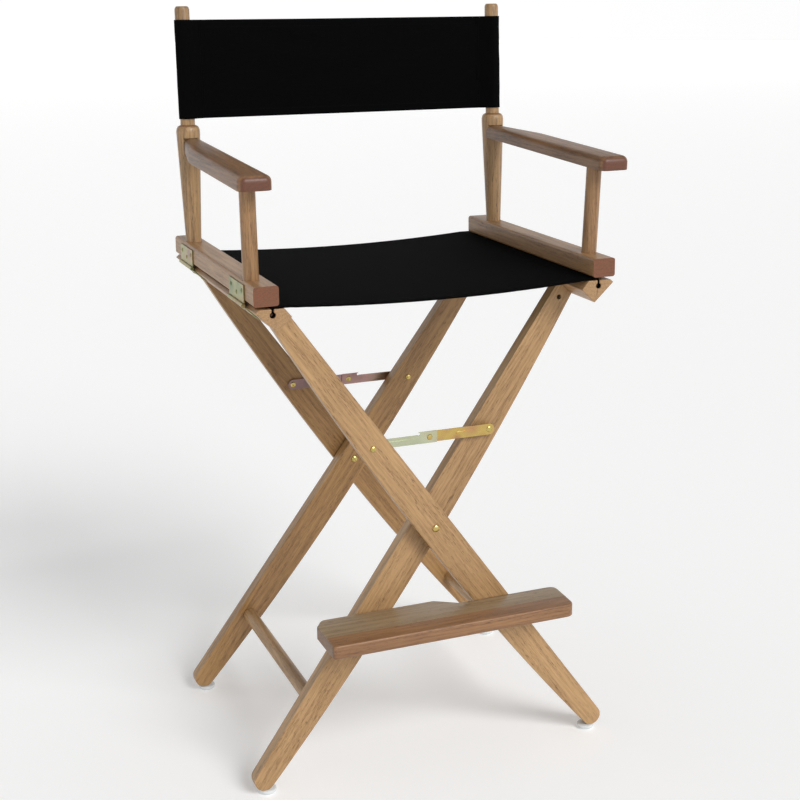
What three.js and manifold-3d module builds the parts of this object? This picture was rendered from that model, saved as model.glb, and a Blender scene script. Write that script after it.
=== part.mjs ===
// A bar-height folding director's chair: oak frame, canvas seat and back, steel hardware.
// Millimetres, +Z up, +X to the viewer's right, the chair faces -Y, origin on the floor under its middle.
import * as THREE from "three";
import { mergeVertices } from "three/addons/utils/BufferGeometryUtils.js";
import Module from "manifold-3d";

// ---- driving dimensions --------------------------------------------------------------------
const GAP = 0.3; // clearance between touching pieces
const FRAME_Y = 21.5; // the frame's own middle lies this far behind the origin

// crossing legs: a straight upper edge and a bowed lower edge
const LEG = {
  lean: THREE.MathUtils.degToRad(35.7), // from the vertical
  pivotZ: 392,
  upperEdge: 25, // from the pivot line up to the straight edge
  widest: 49.6,
  widestAt: 60, // along the leg, below the pivot
  footWidth: 32,
  footAt: 460, // centre of the rounded foot, below the pivot
  topWidth: 30,
  topAt: -418,
  thick: 20,
};
const OUTER_Y = 207.5; // outer faces of the outer legs, each way from the frame's middle
const PLY_GAP = 8.5; // between two crossing legs, at their pivot
const SPLAY = 0.043; // the inner legs' feet stand further apart than their tops: y per mm of height
const FRONT_OUTER_Y = [-OUTER_Y, -OUTER_Y + LEG.thick];
const FRONT_INNER_Y = [-OUTER_Y + LEG.thick + PLY_GAP, -OUTER_Y + 2 * LEG.thick + PLY_GAP];
const REAR_SHIFT = 2 * OUTER_Y - 2 * LEG.thick - PLY_GAP; // front pair of legs to rear pair

// seat rails: a bar turned about 45 degrees, cut level on top; corners are [x, z], right hand side
const RAIL = {
  front: -238,
  rear: 234,
  innerTop: [237, 760],
  outerTop: [274, 760],
  outer: [279.3, 755.5],
  bottom: [247.7, 726],
  inner: [226.2, 747],
  slotX: 254,
  slotWidth: 3.2,
  holeZ: 751.2,
  holeR: 4.3,
};
const STRETCHER = { along: 325, r: 11 };
const GLIDE = { r: 14, height: 7.7, x: 270 };

// arms
const BASE = { inner: 244.6, outer: 281, z: [764.3, 792.7], front: -238, rear: 223, round: 4 };
const POST_X = 265;
// [x at its foot, x under the armrest]: both lean out, the right hand one more
const FRONT_POST = { y: -182, r: 11.5, right: [266.5, 272.5], left: [268, 269.5] };
const REAR_POST = {
  y: 162,
  rake: THREE.MathUtils.degToRad(2.2),
  baseR: 12.3,
  bodyR: 18.4,
  shoulderZ: 977,
  tipZ: 1160,
  neckR: 11.4,
};
const ARMREST = {
  inner: 248,
  outer: 297,
  front: -228,
  rear: 158,
  taperFrom: 42,
  rearOuter: 275,
  swing: { right: THREE.MathUtils.degToRad(1.7), left: THREE.MathUtils.degToRad(-0.5) }, // about the rear post
  thick: 21,
  underZ: 922, // under the board, at its front
  roundOver: 9.5, // along its upper edges
  slope: THREE.MathUtils.degToRad(2.2), // rises to the rear
};
const HINGE = { x: 283.5, z: 758.8, r: 3, leaf: 1.5, length: 76, at: [-156, 141], arm: 29, rail: 27, pinR: 1.5 };

// locking stays
const STAY = { along: 170, plate: 1.5, planeA: 2.5, barH: 17, rivetR: 2.5, headR: 4.7 };
const RIVET_X = STAY.along * Math.sin(LEG.lean);
const RIVET_Z = LEG.pivotZ + STAY.along * Math.cos(LEG.lean);
const PIVOT = { shankR: 3, headR: 5.8, headH: 3.4, nutAf: 10 };
const BARREL = { along: -400, off: 10, r: 3.6, recess: 5, deep: 16 };

// canvas
const CLOTH = 1.6;
const SEAT = { front: -236, rear: 240, under: 760.4 };
const BACK = { z: [987.5, 1140], sleeve: 0.5 };
const HEM_DOWEL_R = 2.9;

// footrest
const STEP = {
  top: 265,
  thick: 21,
  front: -283,
  left: -192,
  right: 200.5,
  cutCorner: [-178, -204], // the rear left corner: x on the rear edge, y on the left edge
  notchX: [4, 38], // where the rear edge steps round the front legs
};
const HOOK = { z: 228, plate: 2, drop: 27, half: 30, shankR: 2.4 };

// ---- materials -----------------------------------------------------------------------------
const material = (color, roughness, metalness = 0) =>
  new THREE.MeshStandardMaterial({ color, roughness, metalness });
const oak = () => material(0xa07d55, 0.5);
const armOak = () => material(0x8c6446, 0.5);
const stepOak = () => material(0x7d6446, 0.5);
const zinc = () => material(0xb3a468, 0.3, 1);
const brassy = () => material(0xa59a5e, 0.28, 1);
const canvas = () => material(0x0b0b0b, 0.95);
const darkSteel = () => material(0x3a3630, 0.45, 1);
const nylon = () => material(0xcfd2d3, 0.4);

// ---- geometry helpers ----------------------------------------------------------------------
const wasm = await Module();
wasm.setup();

function toSolid(geometry) {
  const bare = new THREE.BufferGeometry().setAttribute(
    "position",
    (geometry.index ? geometry.toNonIndexed() : geometry).getAttribute("position"),
  );
  const merged = mergeVertices(bare, 1e-3);
  const faces = [];
  const index = merged.index.array;
  for (let i = 0; i < index.length; i += 3) {
    const [a, b, c] = [index[i], index[i + 1], index[i + 2]];
    if (a !== b && b !== c && c !== a) faces.push(a, b, c);
  }
  const vertProperties = merged.attributes.position.array;
  const make = (triVerts) =>
    new wasm.Manifold(new wasm.Mesh({ numProp: 3, vertProperties, triVerts: new Uint32Array(triVerts) }));
  const solid = make(faces);
  if (solid.volume() > 0) return solid;
  for (let i = 0; i < faces.length; i += 3) [faces[i + 1], faces[i + 2]] = [faces[i + 2], faces[i + 1]];
  return make(faces);
}

function toGeometry(solid) {
  const mesh = solid.getMesh();
  const geometry = new THREE.BufferGeometry();
  const position = new Float32Array(mesh.numVert * 3);
  for (let v = 0; v < mesh.numVert; v++)
    for (let k = 0; k < 3; k++) position[3 * v + k] = mesh.vertProperties[v * mesh.numProp + k];
  geometry.setAttribute("position", new THREE.BufferAttribute(position, 3));
  geometry.setIndex([...mesh.triVerts]);
  const flat = geometry.toNonIndexed();
  flat.computeVertexNormals();
  return flat;
}

const clean = (geometry) => toGeometry(toSolid(geometry));
const cut = (body, ...tools) =>
  toGeometry(tools.reduce((left, tool) => left.subtract(toSolid(tool)), toSolid(body)));
const join = (body, ...more) =>
  toGeometry(more.reduce((sum, piece) => sum.add(toSolid(piece)), toSolid(body)));

const points = (list) => list.map(([x, y]) => new THREE.Vector2(x, y));
const shapeOf = (list) => new THREE.Shape(points(list));

// A flat [x, z] outline carried from y0 to y1.
function prismY(shape, y0, y1, curveSegments = 10) {
  return new THREE.ExtrudeGeometry(shape, { depth: y1 - y0, bevelEnabled: false, curveSegments })
    .rotateX(Math.PI / 2)
    .translate(0, y1, 0);
}

const rodY = (r, y0, y1, x = 0, z = 0, sides = 16) =>
  new THREE.CylinderGeometry(r, r, y1 - y0, sides).translate(x, (y0 + y1) / 2, z);

// A turned piece, its profile a list of [radius, height], axis +Z.
const turned = (profile, sides = 32) => new THREE.LatheGeometry(points(profile), sides).rotateX(Math.PI / 2);

const slab = (x0, x1, y0, y1, z0, z1) =>
  new THREE.BoxGeometry(x1 - x0, y1 - y0, z1 - z0).translate((x0 + x1) / 2, (y0 + y1) / 2, (z0 + z1) / 2);

// A domed rivet or bolt: its head faces -Y, its shank runs to +Y.
function dome(headR, headH, shankR, y0, y1) {
  const profile = [[0, 0], [shankR, 0], [shankR, y1 - y0]];
  for (let i = 0; i <= 3; i++) {
    const a = (i / 3) * (Math.PI / 2);
    profile.push([headR * Math.cos(a), y1 - y0 + headH * Math.sin(a)]);
  }
  profile[profile.length - 1][0] = 0;
  return turned(profile, 16).rotateX(Math.PI / 2).translate(0, y1, 0);
}

function roundedRect(x0, x1, y0, y1, r) {
  const s = new THREE.Shape();
  s.moveTo(x0 + r, y0).lineTo(x1 - r, y0).absarc(x1 - r, y0 + r, r, -Math.PI / 2, 0);
  s.lineTo(x1, y1 - r).absarc(x1 - r, y1 - r, r, 0, Math.PI / 2);
  s.lineTo(x0 + r, y1).absarc(x0 + r, y1 - r, r, Math.PI / 2, Math.PI);
  s.lineTo(x0, y0 + r).absarc(x0 + r, y0 + r, r, Math.PI, 1.5 * Math.PI);
  return s;
}

const chair = new THREE.Group();
chair.position.y = FRAME_Y;
const rightSide = new THREE.Group();
const leftSide = new THREE.Group();
leftSide.scale.x = -1;
const rearSet = new THREE.Group(); // the front pair's hardware again, turned left for right
rearSet.position.y = REAR_SHIFT;
const rearMirrored = new THREE.Group();
rearMirrored.position.y = REAR_SHIFT;
rearMirrored.scale.x = -1;
chair.add(rightSide, leftSide, rearSet, rearMirrored);

function piece(name, geometry, look, parent = chair) {
  const mesh = new THREE.Mesh(geometry, look);
  mesh.name = name;
  parent.add(mesh);
  return mesh;
}

// ---- legs ----------------------------------------------------------------------------------
const SIN = Math.sin(LEG.lean);
const COS = Math.cos(LEG.lean);

// A point on the outer leg: `along` runs down from the pivot, `off` towards the straight edge.
const onLeg = (along, off) => [along * SIN + off * COS, LEG.pivotZ - along * COS + off * SIN];

function legWidth(along) {
  const upper = along < LEG.widestAt;
  const end = upper ? LEG.topWidth : LEG.footWidth;
  const span = upper ? LEG.widestAt - LEG.topAt : LEG.footAt - LEG.widestAt;
  return LEG.widest - (LEG.widest - end) * ((along - LEG.widestAt) / span) ** 2;
}

// How far a point of the outer leg is below the left rail's lower inner face.
const facing = new THREE.Vector2(RAIL.inner[1] - RAIL.bottom[1], RAIL.bottom[0] - RAIL.inner[0]).normalize();
const belowRail = ([x, z]) => facing.x * (x + RAIL.bottom[0]) - facing.y * (z - RAIL.bottom[1]);

// Where an edge of the leg meets that face, less the clearance.
function topOfEdge(edge) {
  let [high, low] = [LEG.topAt - 60, LEG.topAt + 60];
  for (let i = 0; i < 40; i++) {
    const middle = (high + low) / 2;
    if (belowRail(onLeg(middle, edge(middle))) > GAP) low = middle;
    else high = middle;
  }
  return low;
}

function legOutline() {
  const upper = () => LEG.upperEdge;
  const lower = (along) => LEG.upperEdge - legWidth(along);
  const outline = [onLeg(topOfEdge(upper), LEG.upperEdge)];
  const r = LEG.footWidth / 2;
  for (let i = 0; i <= 12; i++) {
    const a = (i / 12) * Math.PI;
    outline.push(onLeg(LEG.footAt + r * Math.sin(a), LEG.upperEdge - r + r * Math.cos(a)));
  }
  const start = topOfEdge(lower);
  for (let i = 23; i >= 0; i--) {
    const along = start + ((LEG.footAt - start) * i) / 24;
    outline.push(onLeg(along, lower(along)));
  }
  return outline;
}

const screwAlong = (LEG.pivotZ - HOOK.z) / COS;

// How far an inner leg's face has moved along y at a height, from where it is at the pivot.
const splay = (z) => SPLAY * (z - LEG.pivotZ);
const splayed = (geometry, way) =>
  clean(
    geometry.applyMatrix4(
      new THREE.Matrix4().set(1, 0, 0, 0, 0, 1, way * SPLAY, way * splay(0), 0, 0, 1, 0, 0, 0, 0, 1),
    ),
  );

function leg(yFront, yRear, { barrel = false, screw = false }) {
  const body = prismY(shapeOf(legOutline()), yFront, yRear);
  const tools = [
    rodY(PIVOT.shankR + GAP, yFront - 1, yRear + 1, 0, LEG.pivotZ),
    rodY(STAY.rivetR + GAP, yFront - 1, yRear + 1, -RIVET_X, RIVET_Z),
  ];
  const place = [onLeg(BARREL.along, BARREL.off), onLeg(screwAlong, 0)];
  if (barrel) tools.push(rodY(BARREL.r + GAP, yFront - 1, yFront + BARREL.deep, ...place[0]));
  if (screw) tools.push(rodY(HOOK.shankR + GAP, yFront - 1, yFront + 15, ...place[1]));
  return cut(body, ...tools);
}

piece("leg_outer_front", leg(...FRONT_OUTER_Y, { screw: true }), oak());
piece("leg_inner_front", splayed(leg(...FRONT_INNER_Y, { barrel: true, screw: true }), 1), oak(), leftSide);
piece("leg_inner_rear", splayed(leg(...FRONT_OUTER_Y, { barrel: true }), -1), oak(), rearMirrored);
piece("leg_outer_rear", leg(...FRONT_INNER_Y, {}), oak(), rearSet);


function barrelNut(yFront) {
  const [x, z] = onLeg(BARREL.along, BARREL.off);
  const face = yFront + BARREL.recess;
  const nut = rodY(BARREL.r, face, yFront + BARREL.deep - GAP, x, z);
  return cut(nut, slab(x - 4, x + 4, face - 1, face + 1.2, z - 0.6, z + 0.6));
}
piece("barrel_nut_inner_front", splayed(barrelNut(FRONT_INNER_Y[0]), 1), darkSteel(), leftSide);
piece("barrel_nut_inner_rear", splayed(barrelNut(FRONT_OUTER_Y[0]), -1), darkSteel(), rearMirrored);

// round lower rails, centred on the legs' width
const stretcherAt = onLeg(STRETCHER.along, LEG.upperEdge - legWidth(STRETCHER.along) / 2);
const innerReach = OUTER_Y - 2 * LEG.thick - PLY_GAP - GAP - splay(stretcherAt[1] + STRETCHER.r);
const outerReach = OUTER_Y - LEG.thick - GAP;
piece("stretcher_right", clean(rodY(STRETCHER.r, -outerReach, outerReach, ...stretcherAt, 32)), oak());
const stretcher = rodY(STRETCHER.r, -innerReach, innerReach, ...stretcherAt, 32);
piece("stretcher_left", clean(stretcher), oak(), leftSide);

// glides under the rounded feet
function glide() {
  const { r, height } = GLIDE;
  const sole = [[0, 0], [r - 5, 0], [r - 2, 0.9], [r - 0.5, 2.6], [r, 4.6]];
  const shoulder = [[r - 0.6, height - 0.8], [r - 2, height], [0, height]];
  return clean(turned([...sole, ...shoulder], 22));
}
const glides = [
  ["glide_outer_front", FRONT_OUTER_Y, 0, 1],
  ["glide_inner_front", FRONT_INNER_Y, splay(GLIDE.height), -1],
  ["glide_inner_rear", FRONT_OUTER_Y, REAR_SHIFT - splay(GLIDE.height), -1],
  ["glide_outer_rear", FRONT_INNER_Y, REAR_SHIFT, 1],
];
for (const [name, [y0, y1], shift, side] of glides)
  piece(name, glide(), nylon()).position.set(side * GLIDE.x, (y0 + y1) / 2 + shift, 0);

// ---- seat rails ----------------------------------------------------------------------------
function railOutline() {
  const w = RAIL.slotWidth / 2;
  const rise = Math.sqrt(RAIL.holeR ** 2 - w ** 2);
  const a = Math.asin(w / RAIL.holeR);
  const outside = [RAIL.innerTop, RAIL.inner, RAIL.bottom, RAIL.outer, RAIL.outerTop];
  const outline = [...outside, [RAIL.slotX + w, RAIL.outerTop[1]]];
  for (let i = 0; i <= 16; i++) {
    const t = Math.PI / 2 - a - (i / 16) * (2 * Math.PI - 2 * a);
    outline.push([RAIL.slotX + RAIL.holeR * Math.cos(t), RAIL.holeZ + RAIL.holeR * Math.sin(t)]);
  }
  outline.push([RAIL.slotX - w, RAIL.holeZ + rise + 0.01], [RAIL.slotX - w, RAIL.innerTop[1]]);
  return outline;
}
const rail = clean(prismY(shapeOf(railOutline()), RAIL.front, RAIL.rear));
piece("rail_right", rail, oak(), rightSide);
piece("rail_left", rail.clone(), oak(), leftSide);

// ---- pivots and stays ----------------------------------------------------------------------
const pairFront = FRONT_OUTER_Y[0];
const pairRear = FRONT_INNER_Y[1];

function pivotSet(suffix, parent) {
  const bolt = dome(PIVOT.headR, PIVOT.headH, PIVOT.shankR, pairFront - GAP, pairRear + 7);
  piece("pivot_bolt_" + suffix, clean(bolt), brassy(), parent).position.z = LEG.pivotZ;
  const hexagon = [];
  const corner = PIVOT.nutAf / Math.sqrt(3);
  for (let i = 0; i < 6; i++) {
    const angle = (i * Math.PI) / 3;
    hexagon.push([corner * Math.cos(angle), corner * Math.sin(angle)]);
  }
  const bore = rodY(PIVOT.shankR + GAP, pairFront, pairRear + 9);
  const nut = cut(prismY(shapeOf(hexagon), pairRear + GAP, pairRear + 5), bore);
  piece("pivot_nut_" + suffix, nut, zinc(), parent).position.z = LEG.pivotZ;
  const ease = GAP + 11 * SPLAY;
  const spacer = cut(rodY(11, FRONT_OUTER_Y[1] + ease, FRONT_INNER_Y[0] - ease, 0, 0, 32), bore);
  piece("pivot_spacer_" + suffix, spacer, zinc(), parent).position.z = LEG.pivotZ;
}
pivotSet("front", chair);
pivotSet("rear", rearSet);

// The plate bar hangs behind the front leg of a pair, the plain bar lies on the rear leg of it.
const plateY = FRONT_OUTER_Y[1] + STAY.planeA;
const plainY = plateY + STAY.plate + GAP;

const barShape = (x0, x1, h) => roundedRect(x0 - h / 2, x1 + h / 2, -h / 2, h / 2, h / 2 - 0.01);

// A low pressed rib along a bar.
const rib = (x0, x1, y) => prismY(roundedRect(x0, x1, -2.2, 2.2, 2.1), y - 0.7, y + 0.5, 2);

// `lean` is how far the front and the rear leg of the pair have moved at the stay's height.
function staySet(suffix, parent, lean) {
  const group = new THREE.Group();
  group.position.z = RIVET_Z;
  parent.add(group);
  const hole = STAY.rivetR + GAP;
  // plate bar: a slim arm, low on a taller plate that carries the stop tab
  const arm = prismY(barShape(-RIVET_X, -8, 14), plateY, plateY + STAY.plate, 5);
  arm.translate(0, 0, -1.8);
  const armAtRivet = prismY(barShape(-RIVET_X, -RIVET_X + 4, 17), plateY, plateY + STAY.plate, 5);
  const plate = prismY(roundedRect(-18, 12, -9, 9.5, 1), plateY, plateY + STAY.plate, 3);
  const body = join(arm, plate, armAtRivet, rib(-78, -24, plateY).translate(0, 0, -1.8));
  const plateBar = cut(
    body,
    rodY(hole, plateY - 3, plateY + 3, -RIVET_X, 0),
    rodY(hole, plateY - 3, plateY + 3, 0, 0),
    rodY(2.2, plateY - 3, plateY + 3, -17.5, 6.5, 12),
  );
  piece("stay_plate_bar_" + suffix, plateBar, zinc(), group);
  const plain = join(
    prismY(barShape(0, RIVET_X, STAY.barH), plainY, plainY + STAY.plate, 5),
    rib(44, 80, plainY),
  );
  const plainBar = cut(plain, rodY(hole, plainY - 3, plainY + 3, RIVET_X, 0));
  piece("stay_plain_bar_" + suffix, plainBar, zinc(), group);
  const middle = dome(4.5, 1.4, STAY.rivetR, plateY - 0.15, plateY + STAY.plate);
  piece("stay_rivet_centre_" + suffix, clean(middle), brassy(), group);
  // through the front leg, a collar, then the plate bar
  const collar = rodY(4.5, FRONT_OUTER_Y[1] + lean[0] + GAP + 0.2, plateY - GAP, 0, 0, 16);
  const frontHead = pairFront + lean[0] - GAP;
  const throughFront = join(dome(STAY.headR, 2.6, STAY.rivetR, frontHead, plateY + STAY.plate), collar);
  piece("stay_rivet_leg_" + suffix, throughFront, brassy(), group).position.x = -RIVET_X;
  const spacer = rodY(4.5, plainY + STAY.plate + GAP, FRONT_INNER_Y[0] + lean[1] - GAP - 0.2, 0, 0, 16);
  const tail = rodY(4, pairRear + lean[1] + GAP, pairRear + lean[1] + 2, 0, 0, 16);
  const rearEnd = pairRear + lean[1] + 1;
  const throughRear = join(dome(STAY.headR, 1.4, STAY.rivetR, plainY - 0.15, rearEnd), tail, spacer);
  piece("stay_rivet_bar_" + suffix, throughRear, brassy(), group).position.x = RIVET_X;
}
staySet("front", chair, [0, splay(RIVET_Z)]);
staySet("rear", rearMirrored, [-splay(RIVET_Z), 0]);

// ---- arms ----------------------------------------------------------------------------------
const SOCKET = 9; // how far each post is let into the wood

// A rod along the front post's axis, its ends at heights z0 and z1.
function alongFrontPost(r, side, z0, z1) {
  const [foot, top] = FRONT_POST[side];
  const base = BASE.z[1];
  const lean = Math.atan((top - foot) / (ARMREST.underZ - base));
  return rodZ(r, z0 - base, z1 - base).rotateY(lean).translate(foot, FRONT_POST.y, base);
}

function armBase(side) {
  const { inner, outer, z, round } = BASE;
  const bar = prismY(roundedRect(inner, outer, z[0], z[1], round), BASE.front, BASE.rear, 4);
  const frontSocket = alongFrontPost(FRONT_POST.r + GAP, side, z[1] - SOCKET - GAP, z[1] + 5);
  const rearSocket = rodZ(REAR_POST.baseR + GAP, -SOCKET - GAP, 20, 0, 0)
    .rotateX(-REAR_POST.rake)
    .translate(POST_X, REAR_POST.y, z[1]);
  return cut(bar, frontSocket, rearSocket);
}

function rodZ(r, z0, z1, x = 0, y = 0, sides = 32) {
  return new THREE.CylinderGeometry(r, r, z1 - z0, sides).rotateX(Math.PI / 2).translate(x, y, (z0 + z1) / 2);
}

// The rear post stands on the base bar, leaning back a little; its own height starts at the bar's top.
function rearPost() {
  const top = BASE.z[1];
  const { baseR, bodyR, neckR, shoulderZ, tipZ } = REAR_POST;
  const shoulder = shoulderZ - top;
  const tip = tipZ - top;
  const post = turned(
    [
      [0, -SOCKET],
      [baseR, -SOCKET],
      [baseR, 6],
      [bodyR, shoulder - 16],
      [bodyR + 0.1, shoulder - 9],
      [bodyR - 0.8, shoulder - 4.5],
      [bodyR - 2.9, shoulder - 1.5],
      [neckR + 1, shoulder],
      [neckR, shoulder + 0.6],
      [neckR, tip - 5],
      [neckR - 0.9, tip - 2],
      [neckR - 2.6, tip],
      [0, tip],
    ],
    28,
  );
  return post.rotateX(-REAR_POST.rake).translate(POST_X, REAR_POST.y, top);
}

// The armrest's outline seen from above, [x, y].
function armrestPlan(grow) {
  const { inner, outer, front, rear, taperFrom, rearOuter } = ARMREST;
  const r = 11 + grow;
  const s = new THREE.Shape();
  const [x0, x1, y0, y1] = [inner - grow, outer + grow, front - grow, rear + grow];
  s.moveTo(x0 + r, y0).lineTo(x1 - r, y0).absarc(x1 - r, y0 + r, r, -Math.PI / 2, 0);
  s.lineTo(x1, taperFrom).lineTo(rearOuter + grow, y1).lineTo(x0, y1);
  s.lineTo(x0, y0 + r).absarc(x0 + r, y0 + r, r, Math.PI, 1.5 * Math.PI);
  return s;
}

// Lays a board drawn flat at z = 0 in its place: it swings about the rear post and rises to the rear.
function laid(board, side) {
  board.translate(0, -ARMREST.front, 0).rotateX(ARMREST.slope).translate(0, ARMREST.front, ARMREST.underZ);
  board.translate(-POST_X, -REAR_POST.y, 0).rotateZ(ARMREST.swing[side]);
  return board.translate(POST_X, REAR_POST.y, 0);
}

// The board itself, its upper edges rounded over and its underside cut flat.
function armrestBoard(side) {
  const { thick, roundOver } = ARMREST;
  const block = new THREE.ExtrudeGeometry(armrestPlan(0), {
    depth: thick,
    bevelThickness: roundOver,
    bevelSize: roundOver,
    bevelOffset: -roundOver,
    bevelSegments: 5,
    curveSegments: 6,
  });
  const flat = cut(block.translate(0, 0, -roundOver), slab(200, 340, -260, 200, -3 * roundOver, 0));
  return laid(flat, side);
}

// The space it takes up in the rear post.
function armrestRecess(side) {
  const depth = ARMREST.thick + 2 * GAP;
  const block = new THREE.ExtrudeGeometry(armrestPlan(GAP), { depth, bevelEnabled: false, curveSegments: 5 });
  return laid(block.translate(0, 0, -GAP), side);
}

function armSide(side, parent) {
  piece("arm_base_" + side, armBase(side), armOak(), parent);
  piece("post_rear_" + side, cut(rearPost(), armrestRecess(side)), armOak(), parent);
  const underFront = ARMREST.underZ + (FRONT_POST.y - ARMREST.front) * Math.tan(ARMREST.slope);
  const [low, high] = [BASE.z[1] - SOCKET, underFront + SOCKET];
  piece("post_front_" + side, clean(alongFrontPost(FRONT_POST.r, side, low, high)), armOak(), parent);
  const socket = alongFrontPost(FRONT_POST.r + GAP, side, low, high + GAP);
  piece("armrest_" + side, cut(armrestBoard(side), socket), armOak(), parent);
}
armSide("right", rightSide);
armSide("left", leftSide);

// ---- arm hinges ----------------------------------------------------------------------------
// Five barrels on one axis: three on the rail's leaf, two on the arm's.
function barrels(first, bore) {
  const step = HINGE.length / 5;
  const list = [];
  for (let i = first; i < 5; i += 2) {
    const y0 = -HINGE.length / 2 + i * step + (i ? GAP / 2 : 0);
    const y1 = -HINGE.length / 2 + (i + 1) * step - (i < 4 ? GAP / 2 : 0);
    const tube = rodY(HINGE.r, y0, y1, HINGE.x, HINGE.z, 14);
    list.push(bore ? cut(tube, rodY(HINGE.pinR + 0.2, y0 - 1, y1 + 1, HINGE.x, HINGE.z, 10)) : tube);
  }
  return list;
}

// A leaf cut away where the other leaf's barrels turn.
function leafWith(plate, first) {
  const step = HINGE.length / 5;
  const clear = [];
  for (let i = 1 - first; i < 5; i += 2) {
    const y0 = -HINGE.length / 2 + i * step - GAP / 2;
    clear.push(rodY(HINGE.r + 0.6, y0, y0 + step + GAP, HINGE.x, HINGE.z, 14));
  }
  return cut(plate, ...clear);
}

function armLeaf() {
  const x0 = BASE.outer + GAP;
  const plate = slab(x0, x0 + HINGE.leaf, -HINGE.length / 2, HINGE.length / 2, HINGE.z, HINGE.z + HINGE.arm);
  const axisHole = rodY(HINGE.pinR + 0.2, -60, 60, HINGE.x, HINGE.z, 10);
  return cut(join(leafWith(plate, 1), ...barrels(1, false)), axisHole);
}

function railLeaf() {
  const face = new THREE.Vector2(RAIL.outer[0] - RAIL.bottom[0], RAIL.outer[1] - RAIL.bottom[1]).normalize();
  const out = new THREE.Vector2(face.y, -face.x);
  const at = (along, off) => [
    RAIL.outer[0] - face.x * along + out.x * off,
    RAIL.outer[1] - face.y * along + out.y * off,
  ];
  const [near, far] = [GAP, GAP + HINGE.leaf];
  const outline = [at(-4.4, near), at(HINGE.rail, near), at(HINGE.rail, far), at(-4.4, far)];
  const plate = prismY(shapeOf(outline), -HINGE.length / 2, HINGE.length / 2);
  const leaf = join(leafWith(plate, 0), ...barrels(0, false));
  const pin = rodY(HINGE.pinR, -HINGE.length / 2 - 1, HINGE.length / 2 + 1, HINGE.x, HINGE.z, 10);
  return join(leaf, pin);
}

for (const [side, parent] of [["right", rightSide], ["left", leftSide]])
  for (const [place, y] of [["front", HINGE.at[0]], ["rear", HINGE.at[1]]]) {
    piece(`hinge_arm_leaf_${side}_${place}`, armLeaf(), zinc(), parent).position.y = y;
    piece(`hinge_rail_leaf_${side}_${place}`, railLeaf(), zinc(), parent).position.y = y;
  }

// ---- canvas and its dowels -----------------------------------------------------------------
for (const [side, parent] of [["right", rightSide], ["left", leftSide]])
  piece(
    "seat_dowel_" + side,
    clean(rodY(HEM_DOWEL_R, SEAT.front + 6, RAIL.rear - 2, RAIL.slotX, RAIL.holeZ, 16)),
    oak(),
    parent,
  );

// The seat: a level sheet whose hems turn down into the rails' slots.
function seatCloth() {
  const end = RAIL.slotX + CLOTH / 2;
  const [z0, z1, foot] = [SEAT.under, SEAT.under + CLOTH, RAIL.holeZ + HEM_DOWEL_R + 0.5];
  const outline = [
    [-end, foot], [-end + CLOTH, foot], [-end + CLOTH, z0], [end - CLOTH, z0],
    [end - CLOTH, foot], [end, foot], [end, z1], [-end, z1],
  ];
  return clean(prismY(shapeOf(outline), SEAT.front, SEAT.rear));
}
piece("seat_canvas", seatCloth(), canvas());

// The back: a panel between the two posts, with a sleeve round each.
function backCloth() {
  const r0 = REAR_POST.neckR + BACK.sleeve;
  const r1 = r0 + CLOTH;
  const [z0, z1] = [BACK.z[0] - BASE.z[1], BACK.z[1] - BASE.z[1]];
  const around = (r, a, b) => rodZ(r, a, b, POST_X, 0, 28);
  const other = (r, a, b) => rodZ(r, a, b, -POST_X, 0, 28);
  const flat = slab(-POST_X, POST_X, -CLOTH / 2, CLOTH / 2, z0, z1);
  const sheet = join(flat, around(r1, z0, z1), other(r1, z0, z1));
  return cut(sheet, around(r0, z0 - 1, z1 + 1), other(r0, z0 - 1, z1 + 1));
}
const back = piece("back_canvas", backCloth(), canvas());
back.position.set(0, REAR_POST.y, BASE.z[1]);
back.rotation.x = -REAR_POST.rake;

// ---- footrest ------------------------------------------------------------------------------
function stepPlan() {
  const { left, right, front, cutCorner, notchX } = STEP;
  const innerEdge = FRONT_INNER_Y[0] + splay(STEP.top - STEP.thick) - 0.4;
  const outerEdge = FRONT_OUTER_Y[0] - 0.4;
  const s = new THREE.Shape();
  s.moveTo(left + 7, front).lineTo(right - 14, front).quadraticCurveTo(right, front, right, front + 14);
  s.lineTo(right + 2, outerEdge - 13).quadraticCurveTo(right + 2, outerEdge, right - 11, outerEdge);
  s.lineTo(notchX[1], outerEdge).lineTo(notchX[0], innerEdge).lineTo(cutCorner[0] + 4, innerEdge);
  s.quadraticCurveTo(cutCorner[0], innerEdge, cutCorner[0] - 4, innerEdge - 4.5);
  s.lineTo(left + 3, cutCorner[1] + 3).quadraticCurveTo(left, cutCorner[1], left, cutCorner[1] - 5);
  s.lineTo(left, front + 7).quadraticCurveTo(left, front, left + 7, front);
  return s;
}
const stepBoard = new THREE.ExtrudeGeometry(stepPlan(), {
  depth: STEP.thick - 4,
  bevelThickness: 2,
  bevelSize: 2,
  bevelOffset: -2,
  bevelSegments: 2,
  curveSegments: 6,
}).translate(0, 0, STEP.top - STEP.thick + 2);
piece("footrest_board", clean(stepBoard), stepOak());

// Steel angles under the board hook over a screw in each front leg. The left one is open towards
// the right and below, so its screw is free to swing away when the chair folds.
const under = STEP.top - STEP.thick - GAP;
const [screwX] = onLeg(screwAlong, 0);

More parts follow.
